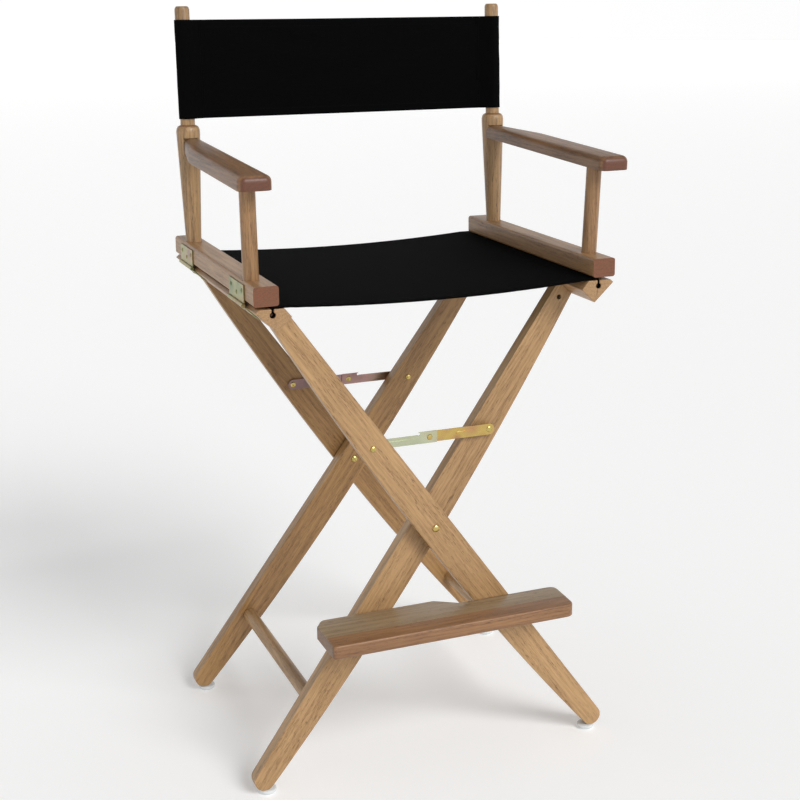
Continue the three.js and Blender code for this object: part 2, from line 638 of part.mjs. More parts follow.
function bracket(x, legFace, notch) {
  const y1 = legFace - GAP;
  const flat = slab(x - HOOK.half, x + HOOK.half, y1 - 34, y1, under - HOOK.plate, under);
  const foot = under - HOOK.drop;
  const drop = slab(x - HOOK.half, x + HOOK.half, y1 - HOOK.plate, y1, foot, under - HOOK.plate / 2);
  const [n0, n1, top] = notch;
  return cut(join(flat, drop), slab(n0, n1, y1 - HOOK.plate - 1, y1 + 1, under - HOOK.drop - 5, top));
}
const clearR = HOOK.shankR + GAP;
const rightNotch = [screwX - clearR, screwX + clearR, HOOK.z + clearR];
const leftNotch = [-screwX - clearR, -screwX + HOOK.half + 5, HOOK.z + clearR];
const innerFace = FRONT_INNER_Y[0] + splay(under - HOOK.drop);
piece("footrest_bracket_right", bracket(screwX, FRONT_OUTER_Y[0], rightNotch), zinc());
piece("footrest_bracket_left", bracket(-screwX, innerFace, leftNotch), zinc());

function hookScrew(legFace, headH) {
  const head = legFace - HOOK.plate - 2 * GAP;
  return clean(dome(5, headH, HOOK.shankR, head, legFace + 14));
}
piece("footrest_screw_outer", hookScrew(FRONT_OUTER_Y[0], 2), zinc()).position.set(screwX, 0, HOOK.z);
piece("footrest_screw_inner", hookScrew(innerFace, 1.6), zinc(), leftSide).position.set(screwX, 0, HOOK.z);

export default chair;
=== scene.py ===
"""A folding director's chair: oak, black canvas and yellow zinc, on a pale floor in soft light."""

import math

import bmesh
import bpy
import numpy as np
from mathutils import Matrix, Vector


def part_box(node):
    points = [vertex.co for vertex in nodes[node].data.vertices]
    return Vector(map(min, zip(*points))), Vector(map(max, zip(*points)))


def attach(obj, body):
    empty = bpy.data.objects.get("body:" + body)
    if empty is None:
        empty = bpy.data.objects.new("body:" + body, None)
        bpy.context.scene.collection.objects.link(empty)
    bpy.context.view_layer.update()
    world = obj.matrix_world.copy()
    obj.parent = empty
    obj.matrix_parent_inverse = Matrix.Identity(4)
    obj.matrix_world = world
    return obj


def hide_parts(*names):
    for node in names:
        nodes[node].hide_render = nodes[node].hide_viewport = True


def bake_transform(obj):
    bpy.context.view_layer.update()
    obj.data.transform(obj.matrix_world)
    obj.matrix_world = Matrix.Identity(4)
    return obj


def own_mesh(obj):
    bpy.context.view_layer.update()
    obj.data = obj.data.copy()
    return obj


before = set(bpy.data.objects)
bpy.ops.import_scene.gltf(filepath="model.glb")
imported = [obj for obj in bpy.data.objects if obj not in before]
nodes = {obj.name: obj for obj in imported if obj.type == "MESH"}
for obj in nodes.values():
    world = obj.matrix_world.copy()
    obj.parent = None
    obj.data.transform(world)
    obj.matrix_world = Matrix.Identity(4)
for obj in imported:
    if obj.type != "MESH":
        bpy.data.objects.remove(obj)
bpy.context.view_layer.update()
scene = bpy.context.scene
MM = 0.001

# ---- places taken from the frame -------------------------------------------------------------
SEAT_LOW, SEAT_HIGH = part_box("seat_canvas")
BACK_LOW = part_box("back_canvas")[0]
DOWEL_LOW, DOWEL_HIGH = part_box("seat_dowel_right")
FRAME_Y = 21.5 * MM  # the middle of the legs, front to rear
LEAN = math.radians(35.7)  # of the legs, from the vertical

# ---- camera ----------------------------------------------------------------------------------
AZIMUTH, ELEVATION, ROLL = map(math.radians, (-22.97, 13.85, -0.14))
DISTANCE = 2.4053
TARGET = Vector((0.1, FRAME_Y, 0.62))
SENSOR_MM, LENS_MM = 36, 66.438
SHIFT = (-0.0535, -0.06775)  # of the picture's width

level = math.cos(ELEVATION)
back = Vector((math.sin(AZIMUTH) * level, -math.cos(AZIMUTH) * level, math.sin(ELEVATION)))
right = Vector((math.cos(AZIMUTH), math.sin(AZIMUTH), 0))
axes = Matrix((right, back.cross(right), back)).transposed()
camera = bpy.data.objects.new("camera", bpy.data.cameras.new("camera"))
camera.matrix_world = Matrix.Translation(TARGET + back * DISTANCE) @ (
    Matrix.Rotation(ROLL, 3, back) @ axes
).to_4x4()
camera.data.sensor_width, camera.data.lens = SENSOR_MM, LENS_MM
camera.data.shift_x, camera.data.shift_y = SHIFT
camera.data.clip_end = 100
scene.collection.objects.link(camera)
scene.camera = camera


# ---- material helpers ------------------------------------------------------------------------
def linear(r, g, b):
    """An sRGB colour, 0 to 255, as linear RGBA."""
    shares = [c / 255 for c in (r, g, b)]
    return tuple(c / 12.92 if c < 0.0404 else ((c + 0.055) / 1.055) ** 2.4 for c in shares) + (1,)


def scaled(colour, factor):
    return tuple(c * factor for c in colour[:3]) + (1,)


class Nodes:
    """A material's node tree, with short ways to add what this scene uses."""

    def __init__(self, name):
        self.material = bpy.data.materials.new(name)
        self.material.use_nodes = True
        self.tree = self.material.node_tree
        self.shader = self.tree.nodes["Principled BSDF"]
        self.coordinates = self.add("ShaderNodeTexCoord")

    def add(self, kind, inputs=(), **settings):
        node = self.tree.nodes.new(kind)
        for key, value in settings.items():
            setattr(node, key, value)
        for key, value in dict(inputs).items():
            self.put(value, node.inputs[key])
        return node

    def put(self, value, socket):
        if isinstance(value, bpy.types.NodeSocket):
            self.tree.links.new(value, socket)
        else:
            socket.default_value = value

    def math(self, operation, a, b=0.0, clamp=False):
        node = self.add("ShaderNodeMath", {0: a, 1: b}, operation=operation, use_clamp=clamp)
        return node.outputs[0]

    def mapping(self, vector, location=(0, 0, 0), rotation=(0, 0, 0), scale=(1, 1, 1)):
        values = {"Vector": vector, "Location": location, "Rotation": rotation, "Scale": scale}
        return self.add("ShaderNodeMapping", values).outputs[0]

    def noise(self, vector, scale, detail=2.0, roughness=0.5):
        values = {"Vector": vector, "Scale": scale, "Detail": detail, "Roughness": roughness}
        return self.add("ShaderNodeTexNoise", values).outputs["Fac"]

    def band(self, value, low, high):
        """0 below low, 1 above high, smooth between."""
        values = {"Value": value, "From Min": low, "From Max": high}
        node = self.add("ShaderNodeMapRange", values, interpolation_type="SMOOTHSTEP")
        return node.outputs["Result"]

    def mix(self, factor, a, b, blend="MIX"):
        node = self.add("ShaderNodeMix", data_type="RGBA", blend_type=blend)
        colours = [s for s in node.inputs if s.type == "RGBA"]
        self.put(factor, node.inputs["Factor"])
        self.put(a, colours[0])
        self.put(b, colours[1])
        return [s for s in node.outputs if s.type == "RGBA"][0]

    def bump(self, height, distance, strength):
        values = {"Height": height, "Distance": distance, "Strength": strength}
        node = self.add("ShaderNodeBump", values)
        return node.outputs["Normal"]

    def finish(self, **inputs):
        for key, value in inputs.items():
            self.put(value, self.shader.inputs[key.replace("_", " ").title().replace("Ior", "IOR")])
        return self.material


GRAIN = {  # how each grain direction turns onto the texture's own X
    "x": (0, 0, 0),
    "y": (0, 0, -math.pi / 2),
    "z": (0, math.pi / 2, 0),
    "outer": (0, LEAN - math.pi / 2, 0),
    "inner": (0, -LEAN - math.pi / 2, 0),
}


def oak(name, grain, pale, dark, end, seed=0.0, front=None):
    """Lacquered red oak: soft growth rings, fine fibre and short dark pores along the piece.

    `front` is (y, pale, dark) for a second board glued along the first one's front.
    """
    n = Nodes(name)
    along = n.mapping(n.coordinates.outputs["Object"], rotation=GRAIN[grain])
    placed = n.mapping(along, location=(seed * 3.1, 0.05 + seed * 0.013, 0.085 - seed * 0.007))
    ring = n.add(
        "ShaderNodeTexWave",
        {
            "Vector": n.mapping(placed, scale=(0.16, 1, 1)),
            "Scale": 52.0,
            "Distortion": 9.0,
            "Detail": 3.0,
            "Detail Scale": 0.55,
            "Detail Roughness": 0.55,
        },
        wave_type="RINGS",
        rings_direction="X",
    ).outputs["Fac"]
    late = n.band(ring, 0.25, 1.0)
    fibre = n.noise(n.mapping(placed, scale=(0.035, 1, 1)), 820, 4, 0.65)
    streak = n.noise(n.mapping(placed, scale=(0.05, 1, 1)), 150, 3, 0.6)
    broad = n.noise(n.mapping(placed, scale=(0.18, 1, 1)), 17, 2)
    dash = n.noise(n.mapping(placed, scale=(0.075, 1, 1)), 1250, 2, 0.5)
    pore = n.math("MULTIPLY", n.band(dash, 0.54, 0.66), n.band(streak, 0.36, 0.6))
    tone = n.math("MULTIPLY", late, 0.16)
    layers = ((fibre, 0.34, 0.68, 0.32), (streak, 0.36, 0.68, 0.24), (broad, 0.35, 0.68, 0.3))
    for layer, low, high, share in layers:
        tone = n.math("ADD", tone, n.math("MULTIPLY", n.band(layer, low, high), share), clamp=True)
    if front:
        edge = n.add("ShaderNodeSeparateXYZ", {0: n.coordinates.outputs["Object"]}).outputs["Y"]
        behind = n.band(edge, front[0] - 0.0004, front[0] + 0.0004)
        pale, dark = n.mix(behind, front[1], pale), n.mix(behind, front[2], dark)
    colour = n.mix(tone, pale, dark)
    pore_colour = n.mix(1.0, dark, (0.4, 0.36, 0.32, 1), "MULTIPLY")
    colour = n.mix(n.math("MULTIPLY", pore, 0.7), colour, pore_colour)
    facing = n.mapping(n.coordinates.outputs["Normal"], rotation=GRAIN[grain])
    facing_x = n.add("ShaderNodeSeparateXYZ", {0: facing}).outputs["X"]
    cut_end = n.band(n.math("ABSOLUTE", facing_x), 0.6, 0.85)
    open_pores = n.math("MULTIPLY", n.band(n.noise(along, 1300, 3), 0.4, 0.66), 0.75)
    speckle = n.math("ADD", open_pores, n.math("MULTIPLY", late, 0.15))
    colour = n.mix(cut_end, colour, n.mix(speckle, end, scaled(end, 0.5)))
    height = n.math("SUBTRACT", n.math("MULTIPLY", fibre, 0.5), pore)
    rough = n.math("ADD", n.math("MULTIPLY", streak, 0.16), 0.38)
    return n.finish(
        base_color=colour,
        roughness=rough,
        normal=n.bump(height, 0.00012, 0.6),
        coat_weight=0.18,
        coat_roughness=0.32,
    )


def plated(name, hues, roughness=0.3, patch=26.0):
    """Yellow zinc: a thin iridescent film that drifts from green to gold to rose."""
    n = Nodes(name)
    where = n.coordinates.outputs["Object"]
    drift = n.noise(where, patch, 2.5, 0.55)
    ramp = n.add("ShaderNodeValToRGB", {"Fac": drift})
    band = ramp.color_ramp
    band.elements[0].position, band.elements[0].color = 0.3, hues[0]
    band.elements[1].position, band.elements[1].color = 0.72, hues[-1]
    for i, hue in enumerate(hues[1:-1], 1):
        band.elements.new(0.3 + 0.42 * i / (len(hues) - 1)).color = hue
    fine = n.noise(where, 900, 3, 0.6)
    rough = n.math("ADD", n.math("MULTIPLY", fine, 0.16), roughness - 0.06)
    return n.finish(
        base_color=ramp.outputs["Color"],
        metallic=1.0,
        roughness=rough,
        normal=n.bump(fine, 0.00004, 0.5),
    )


def cloth(name, across, tint):
    """Black cotton duck; `across` picks the two axes that its threads run along."""
    n = Nodes(name)
    where = n.coordinates.outputs["Object"]
    wobble = n.noise(where, 160, 2)
    threads = []
    for direction in across:
        wave = n.add(
            "ShaderNodeTexWave",
            {"Vector": where, "Scale": 360, "Distortion": 0.6, "Detail": 1.0, "Detail Scale": 0.1},
            bands_direction=direction,
        )
        threads.append(wave.outputs["Fac"])
    weave = n.math("MAXIMUM", threads[0], threads[1])
    slub = n.noise(where, 420, 2, 0.7)
    height = n.math("ADD", weave, n.math("MULTIPLY", slub, 0.5))
    colour = n.mix(n.band(weave, 0.2, 0.9), scaled(tint, 0.45), tint)
    patches = n.math("ADD", n.math("MULTIPLY", slub, 0.7), n.math("MULTIPLY", wobble, 0.3))
    lint = n.band(patches, 0.5, 0.78)
    colour = n.mix(n.math("MULTIPLY", lint, 0.35), colour, scaled(tint, 2.2))
    return n.finish(
        base_color=colour,
        roughness=0.93,
        specular_ior_level=0.03,
        normal=n.bump(height, 0.00025, 0.7),
    )


def nylon(name):
    """Off-white glides, lightly scuffed."""
    n = Nodes(name)
    grain = n.noise(n.coordinates.outputs["Object"], 700, 3)
    scuff = n.band(n.noise(n.coordinates.outputs["Object"], 120, 4, 0.7), 0.5, 0.75)
    colour = n.mix(n.math("MULTIPLY", scuff, 0.3), linear(214, 217, 218), linear(172, 174, 174))
    return n.finish(base_color=colour, roughness=0.42, normal=n.bump(grain, 0.00005, 0.5))


# ---- what each wooden piece looks like -------------------------------------------------------
LEG = dict(pale=linear(188, 150, 104), dark=linear(130, 96, 56), end=linear(150, 112, 76))
REAR_LEG = dict(pale=linear(176, 136, 86), dark=linear(112, 78, 40), end=linear(140, 102, 66))
RAIL = dict(pale=linear(184, 144, 100), dark=linear(124, 88, 54), end=linear(172, 134, 92))
POST = dict(pale=linear(178, 142, 98), dark=linear(94, 68, 40), end=linear(132, 96, 64))
ARM = dict(pale=linear(170, 130, 86), dark=linear(106, 74, 44), end=linear(122, 72, 42))
ARMREST = dict(pale=linear(148, 108, 70), dark=linear(84, 56, 34), end=linear(104, 58, 34))
STEP = dict(pale=linear(168, 142, 108), dark=linear(120, 98, 68), end=linear(130, 96, 66))
STEP["front"] = (FRAME_Y - 250 * MM, linear(158, 116, 76), linear(104, 68, 42))

WOOD = {
    "leg_outer_front": ("outer", LEG, 1.0),
    "leg_outer_rear": ("outer", REAR_LEG, 2.3),
    "leg_inner_front": ("inner", LEG, 3.7),
    "leg_inner_rear": ("inner", REAR_LEG, 4.4),
    "stretcher_left": ("y", LEG, 5.2),
    "stretcher_right": ("y", LEG, 6.1),
    "rail_left": ("y", RAIL, 7.5),
    "rail_right": ("y", RAIL, 8.3),
    "arm_base_left": ("y", ARM, 9.4),
    "arm_base_right": ("y", ARM, 10.2),
    "armrest_left": ("y", ARMREST, 11.6),
    "armrest_right": ("y", ARMREST, 12.9),
    "post_front_left": ("z", ARM, 13.3),
    "post_front_right": ("z", ARM, 14.7),
    "post_rear_left": ("z", POST, 15.1),
    "post_rear_right": ("z", POST, 16.8),
    "seat_dowel_left": ("y", LEG, 17.2),
    "seat_dowel_right": ("y", LEG, 18.5),
    "footrest_board": ("x", STEP, 19.7),
}

zinc = plated(
    "yellow_zinc",
    [linear(112, 124, 86), linear(152, 152, 104), linear(160, 142, 100), linear(140, 110, 98)],
)
STAYS = {
    "stay_plate_bar_front": plated(
        "pale_zinc",
        [linear(170, 180, 150), linear(200, 202, 172), linear(194, 184, 144)],
        roughness=0.26,
        patch=14.0,
    ),
    "stay_plain_bar_front": plated(
        "gold_rose_zinc",
        [linear(166, 104, 92), linear(206, 178, 104), linear(186, 128, 112)],
        roughness=0.24,
        patch=16.0,
    ),
    "stay_plate_bar_rear": plated(
        "mauve_zinc",
        [linear(140, 116, 112), linear(172, 138, 132), linear(160, 146, 122)],
        patch=14.0,
    ),
    "stay_plain_bar_rear": plated(
        "grey_zinc",
        [linear(138, 148, 120), linear(164, 138, 138), linear(136, 116, 116)],
        patch=16.0,
    ),
}
gold_zinc = plated(
    "gold_zinc",
    [linear(186, 176, 104), linear(206, 184, 112), linear(196, 160, 100)],
    roughness=0.25,
    patch=90.0,
)
glide_nylon = nylon("glide_nylon")
dark_steel = plated(
    "dark_steel", [linear(58, 52, 44), linear(84, 76, 62)], roughness=0.42, patch=200.0
)


def soft_edges():
    """A modifier's node group: welds the mesh and shades it smooth, except across real edges."""
    group = bpy.data.node_groups.new("soft_edges", "GeometryNodeTree")
    group.interface.new_socket("Geometry", in_out="INPUT", socket_type="NodeSocketGeometry")
    group.interface.new_socket("Geometry", in_out="OUTPUT", socket_type="NodeSocketGeometry")
    new, link = group.nodes.new, group.links.new
    weld = new("GeometryNodeMergeByDistance")
    weld.inputs["Distance"].default_value = 2e-5
    drop = new("GeometryNodeRemoveAttribute")
    drop.inputs["Name"].default_value = "custom_normal"
    faces, edges = new("GeometryNodeSetShadeSmooth"), new("GeometryNodeSetShadeSmooth")
    edges.domain = "EDGE"
    angle, small = new("GeometryNodeInputMeshEdgeAngle"), new("FunctionNodeCompare")
    small.operation = "LESS_THAN"
    small.inputs[1].default_value = math.radians(32)
    link(angle.outputs["Unsigned Angle"], small.inputs[0])
    link(small.outputs["Result"], edges.inputs["Shade Smooth"])
    link(new("NodeGroupInput").outputs[0], weld.inputs["Geometry"])
    link(weld.outputs["Geometry"], drop.inputs["Geometry"])
    link(drop.outputs["Geometry"], faces.inputs["Geometry"])
    link(faces.outputs["Geometry"], edges.inputs["Geometry"])
    link(edges.outputs["Geometry"], new("NodeGroupOutput").inputs[0])
    return group


SOFT_EDGES = soft_edges()
WOOD_BEVEL = 1.1 * MM


def dress(obj, material, bevel=0.0):
    """Gives a CAD piece its material, smooth shading and, where asked, eased edges."""
    obj.data.materials.clear()
    obj.data.materials.append(material)
    obj.modifiers.new("soft_edges", "NODES").node_group = SOFT_EDGES
    if bevel:
        rounding = obj.modifiers.new("eased_edges", "BEVEL")
        rounding.width, rounding.segments = bevel, 2
        rounding.limit_method, rounding.angle_limit = "ANGLE", math.radians(40)
        rounding.harden_normals = True


for name, (grain, look, seed) in WOOD.items():
    dress(nodes[name], oak("oak_" + name, grain, seed=seed, **look), WOOD_BEVEL)
for name, obj in nodes.items():
    if name in WOOD or name.endswith("canvas"):
        continue
    if name.startswith("glide"):
        dress(obj, glide_nylon)
    elif name.startswith("barrel_nut"):
        dress(obj, dark_steel)
    elif name in STAYS:
        dress(obj, STAYS[name])
    elif name.startswith(("pivot_bolt", "stay_rivet")):
        dress(obj, gold_zinc)
    else:
        dress(obj, zinc)


# ---- cloth -----------------------------------------------------------------------------------
THICK = 1.1 * MM
HALF_THICK = THICK / 2
TAUT = 0.05  # share of gravity that leaves the canvas as tight as it is on a set-up chair
seat_cloth = cloth("seat_duck", ("X", "Y"), linear(9, 9, 10))
back_cloth = cloth("back_duck", ("X", "Z"), linear(8, 8, 9))
thread = cloth("thread", ("X", "Y"), linear(17, 17, 18))


def new_mesh(name, vertices, faces, material):
    mesh = bpy.data.meshes.new(name)
    mesh.from_pydata([tuple(v) for v in vertices], [], faces)
    mesh.materials.append(material)
    for polygon in mesh.polygons:
        polygon.use_smooth = True
    obj = bpy.data.objects.new(name, mesh)
    scene.collection.objects.link(obj)
    return obj


def grid(name, rows, material):
    """A sheet through rows of points: rows[i][j] is a point, every row as long as the others."""
    rows = np.array(rows)
    count, width = rows.shape[:2]
    faces = [
        (i * width + j, (i + 1) * width + j, (i + 1) * width + j + 1, i * width + j + 1)
        for i in range(count - 1)
        for j in range(width - 1)
    ]
    return new_mesh(name, rows.reshape(-1, 3), faces, material)


def thicken(obj, thickness):
    """Gives a sheet its two faces and its rim, and keeps the result as the mesh."""
    solid = obj.modifiers.new("thickness", "SOLIDIFY")
    solid.thickness, solid.offset = thickness, 0
    keep_result(obj)


def keep_result(obj):
    """Makes what the modifiers show the object's own mesh."""
    bpy.context.view_layer.update()
    shown = obj.evaluated_get(bpy.context.evaluated_depsgraph_get())
    result = bpy.data.meshes.new_from_object(shown)
    obj.modifiers.clear()
    obj.data = result


def settle(obj, pinned, gravity, frames=24, tension=45.0):
    """Lets a flat sheet hang from its pinned points under a share of its weight, and keeps that."""
    group = obj.vertex_groups.new(name="held")
    group.add([int(i) for i in pinned], 1.0, "REPLACE")
    simulation = obj.modifiers.new("hang", "CLOTH")
    settings = simulation.settings
    settings.vertex_group_mass = "held"
    settings.quality = 8
    settings.mass = 0.15
    settings.tension_stiffness = settings.compression_stiffness = tension
    settings.shear_stiffness = tension / 2
    settings.bending_stiffness = 3.0
    settings.air_damping = 4.0
    settings.effector_weights.gravity = gravity
    simulation.collision_settings.use_collision = False
    for number in range(1, frames + 1):
        scene.frame_set(number)
    keep_result(obj)
    scene.frame_set(1)


def arc(cx, cz, r, a0, a1, count):
    """Points round a centre, from angle a0 to a1 in degrees."""
    angles = np.radians(np.linspace(a0, a1, count))
    return [(cx + r * math.cos(a), cz + r * math.sin(a)) for a in angles]


def spaced(path, count):
    """The path's own points, with the last stretch cut into `count` equal steps."""
    (x0, z0), (x1, z1) = path[-2], path[-1]
    steps = [(x0 + (x1 - x0) * i / count, z0 + (z1 - z0) * i / count) for i in range(1, count + 1)]
    return path[:-1] + steps


def stitches(name, rows, material, pitch=4.2 * MM, length=3.0 * MM, radius=0.42 * MM):
    """Rows of short raised stitches: each row is (start, end, outward normal)."""
    vertices, faces = [], []
    for start, end, normal in rows:
        start, end, normal = Vector(start), Vector(end), Vector(normal).normalized()
        along = (end - start).normalized()
        side = along.cross(normal)
        for i in range(int((end - start).length / pitch)):
            middle = start + along * (pitch * (i + 0.5))
            base = len(vertices)
            for t, r in ((-0.5, 0.3), (-0.3, 1), (0.3, 1), (0.5, 0.3)):
                for a in map(math.radians, (0, 60, 120, 180)):
                    out = side * math.cos(a) + normal * math.sin(a)
                    vertices.append(middle + along * (t * length) + out * (radius * r))
            for k in range(3):
                for m in range(3):
                    p = base + 4 * k + m
                    faces.append((p, p + 1, p + 5, p + 4))
            faces.append((base, base + 1, base + 2, base + 3))
            faces.append((base + 12, base + 15, base + 14, base + 13))
    return new_mesh(name, vertices, faces, material)


# Seat: from a sleeve round one dowel, up its slot, across the chair, and down round the other.
SLOT_X = (DOWEL_LOW.x + DOWEL_HIGH.x) / 2
DOWEL_Z = (DOWEL_LOW.z + DOWEL_HIGH.z) / 2
RAIL_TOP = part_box("rail_right")[1].z
RAIL_INNER = 237 * MM
UNDER, TOP = RAIL_TOP + 0.75 * MM, RAIL_TOP + 2.1 * MM  # the two layers over the rail
SLEEVE_R = (DOWEL_HIGH.x - DOWEL_LOW.x) / 2 + 0.65 * MM
HEM_END = RAIL_INNER - 14 * MM
LAYER = 0.72 * MM  # from the slot's middle to each of the two layers in it
SLOT_FOOT = DOWEL_Z + 4.4 * MM
REST_X = RAIL_INNER + 4 * MM  # the open span starts here, still on the rail
ACROSS, DEEP = 84, 62

right_half = [(HEM_END, UNDER - 0.2 * MM), (RAIL_INNER, UNDER), (SLOT_X - 3 * MM, UNDER)]
right_half += [(SLOT_X - LAYER, UNDER - 1.6 * MM), (SLOT_X - LAYER, SLOT_FOOT)]
right_half += arc(SLOT_X, DOWEL_Z, SLEEVE_R, 110, 430, 20)
right_half += [(SLOT_X + LAYER, SLOT_FOOT), (SLOT_X + LAYER, TOP - 2.2 * MM)]
right_half += arc(SLOT_X - LAYER, TOP - 1.5 * MM, 1.5 * MM, 20, 90, 4)
right_half += [(REST_X, TOP)]
left_half = [(-x, z) for x, z in reversed(right_half)]
span = [(REST_X - 2 * REST_X * i / ACROSS, TOP) for i in range(1, ACROSS)]
profile = right_half + span + left_half
first_free = len(right_half) + 1
last_free = len(profile) - len(left_half) - 2
seat_depth = SEAT_HIGH.y - SEAT_LOW.y
seat_rows = [
    [(x, SEAT_LOW.y + seat_depth * j / DEEP, z) for j in range(DEEP + 1)] for x, z in profile
]
seat = grid("canvas_seat", seat_rows, seat_cloth)
held = [
    i * (DEEP + 1) + j
    for i in range(len(profile))
    if not first_free <= i <= last_free
    for j in range(DEEP + 1)
]
settle(seat, held, gravity=TAUT)
points = np.array([v.co for v in seat.data.vertices])
rows_co = points.reshape(len(profile), DEEP + 1, 3)


def sag_at(x, y):
    """The height of the settled seat at a place on its open span."""
    open_rows = rows_co[len(right_half) : len(profile) - len(left_half)]
    i = int(np.argmin(np.abs(open_rows[:, 0, 0] - x)))
    j = int(round((y - SEAT_LOW.y) / seat_depth * DEEP))
    return float(open_rows[i, min(max(j, 0), DEEP), 2])


HEM = 11 * MM
HEM_STEPS = 60
hem_x = RAIL_INNER - 1 * MM
seat_hems = []
for edge, inward in ((SEAT_LOW.y, 1), (SEAT_HIGH.y, -1)):
    strip = []
    for i in range(HEM_STEPS + 1):
        x = hem_x - 2 * hem_x * i / HEM_STEPS
        y0, y1 = edge + inward * 0.2 * MM, edge + inward * HEM
        strip.append([(x, y, sag_at(x, y) - THICK) for y in np.linspace(y0, y1, 5)])
    place = "front" if inward > 0 else "rear"
    seat_hems.append(grid("canvas_seat_hem_" + place, strip, seat_cloth))
thicken(seat, THICK)
for hem in seat_hems:
    thicken(hem, THICK)


def seat_row(x0, y0, x1, y1, lift, up):
    """Stitch rows that follow the sag, as short straight runs."""
    runs, count = [], 24
    for i in range(count):
        ends = []
        for t in (i / count, (i + 1) / count):
            x, y = x0 + (x1 - x0) * t, y0 + (y1 - y0) * t
            ends.append((x, y, sag_at(x, y) + lift))
        runs.append((ends[0], ends[1], (0, 0, up)))
    return runs


seat_rows_of_thread = []
for edge, inward in ((SEAT_LOW.y, 1), (SEAT_HIGH.y, -1)):
    y = edge + inward * (HEM - 2.2 * MM)
    seat_rows_of_thread += seat_row(-hem_x, y, hem_x, y, HALF_THICK, 1)
    seat_rows_of_thread += seat_row(-hem_x, y, hem_x, y, -THICK - HALF_THICK, -1)
for side in (-1, 1):
    x = side * (RAIL_INNER - 10 * MM)
    seat_rows_of_thread += seat_row(x, SEAT_LOW.y + HEM, x, SEAT_HIGH.y - HEM, HALF_THICK, 1)
seat_thread = stitches("canvas_seat_stitching", seat_rows_of_thread, thread)

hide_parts("seat_canvas")
for piece in [seat, seat_thread, *seat_hems]:
    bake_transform(piece)

# Back: a sleeve round each post's upper dowel, drawn to a seam, and a taut panel between them.
RAKE = math.radians(2.2)
POST_X = 265 * MM
POST_FOOT = Vector((0, FRAME_Y + 162 * MM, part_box("arm_base_left")[1].z))
rake = Matrix.Translation(POST_FOOT) @ Matrix.Rotation(-RAKE, 4, "X")
NECK_R = 11.4 * MM
WRAP_R = NECK_R + 0.5 * MM + THICK / 2
SEAM_X = POST_X - 25 * MM
LOW_Z = (BACK_LOW.z - POST_FOOT.z) / math.cos(RAKE)
BACK_TALL = 152.5 * MM
HIGH_Z = LOW_Z + BACK_TALL
TALL = 40
touch = math.degrees(math.acos(WRAP_R / (POST_X - SEAM_X)))


def back_sleeve(side):
    """The sleeve's section, from the hem behind the seam, round the post, to the seam in front."""
    section = [(SEAM_X - 5 * MM, 0.95 * MM), (SEAM_X, 0.8 * MM)]
    around = arc(POST_X, 0, WRAP_R, 180 - touch, touch - 180, 30)
    section += spaced([section[-1], around[0]], 6)[1:] + around[1:]
    section += spaced([section[-1], (SEAM_X, -0.2 * MM)], 6)[1:] + [(SEAM_X - 5 * MM, -0.15 * MM)]
    rows = []
    for x, y in section:
        column = []
        for j in range(TALL + 1):
            t = j / TALL
            ease = 0.35 * MM * math.sin(9 * t + side) + 0.3 * MM * math.sin(23 * t + x * 90)
            slack = ease if abs(x - POST_X) > WRAP_R * 0.5 and y else 0
            column.append(rake @ Vector((side * x, y + slack, LOW_Z + (HIGH_Z - LOW_Z) * t)))
        rows.append(column)
    return grid("canvas_back_sleeve_" + ("right" if side > 0 else "left"), rows, back_cloth)


panel_rows = []
PANEL = 96
for i in range(PANEL + 1):
    x = -SEAM_X - 3 * MM + (2 * SEAM_X + 6 * MM) * i / PANEL
    t = i / PANEL
    column = []
    for j in range(TALL + 1):
        v = j / TALL
        ripple = 0.5 * MM * math.sin(21 * t + 1.3 * math.sin(5 * v)) * math.sin(math.pi * t)
        ripple += 0.35 * MM * math.sin(47 * t + 4 * v) * (1 - math.sin(math.pi * v) * 0.6)
        column.append(rake @ Vector((x, -0.25 * MM + ripple, LOW_Z + (HIGH_Z - LOW_Z) * v)))
    panel_rows.append(column)
panel = grid("canvas_back_panel", panel_rows, back_cloth)
sewn_columns = (0, 1, 2, PANEL - 2, PANEL - 1, PANEL)
panel_held = [i * (TALL + 1) + j for i in sewn_columns for j in range(TALL + 1)]
settle(panel, panel_held, gravity=TAUT)
panel_co = np.array([v.co for v in panel.data.vertices]).reshape(PANEL + 1, TALL + 1, 3)
between_seams = panel_co[3 : PANEL - 2]
HEM_ROWS = 3
panel_hems = []
for label, low, high in (("bottom", 0, HEM_ROWS), ("top", TALL - HEM_ROWS, TALL)):
    strip = between_seams[:, low : high + 1] + np.array((0, THICK, 0))
    panel_hems.append(grid("canvas_back_hem_" + label, strip, back_cloth))
panel_stitch_rows = []
for j in (HEM_ROWS, TALL - HEM_ROWS):
    for lift, facing in ((-HALF_THICK, -1), (THICK + HALF_THICK, 1)):
        run = between_seams[::6, j] + np.array((0, lift, 0))
        panel_stitch_rows += [(a, b, (0, facing, 0)) for a, b in zip(run[:-1], run[1:])]
panel_thread = stitches("canvas_back_stitching", panel_stitch_rows, thread)
for piece in [panel, *panel_hems]:
    thicken(piece, THICK)
for piece in [panel, panel_thread, *panel_hems]:
    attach(piece, "left_arm")
    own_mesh(piece)
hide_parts("back_canvas")

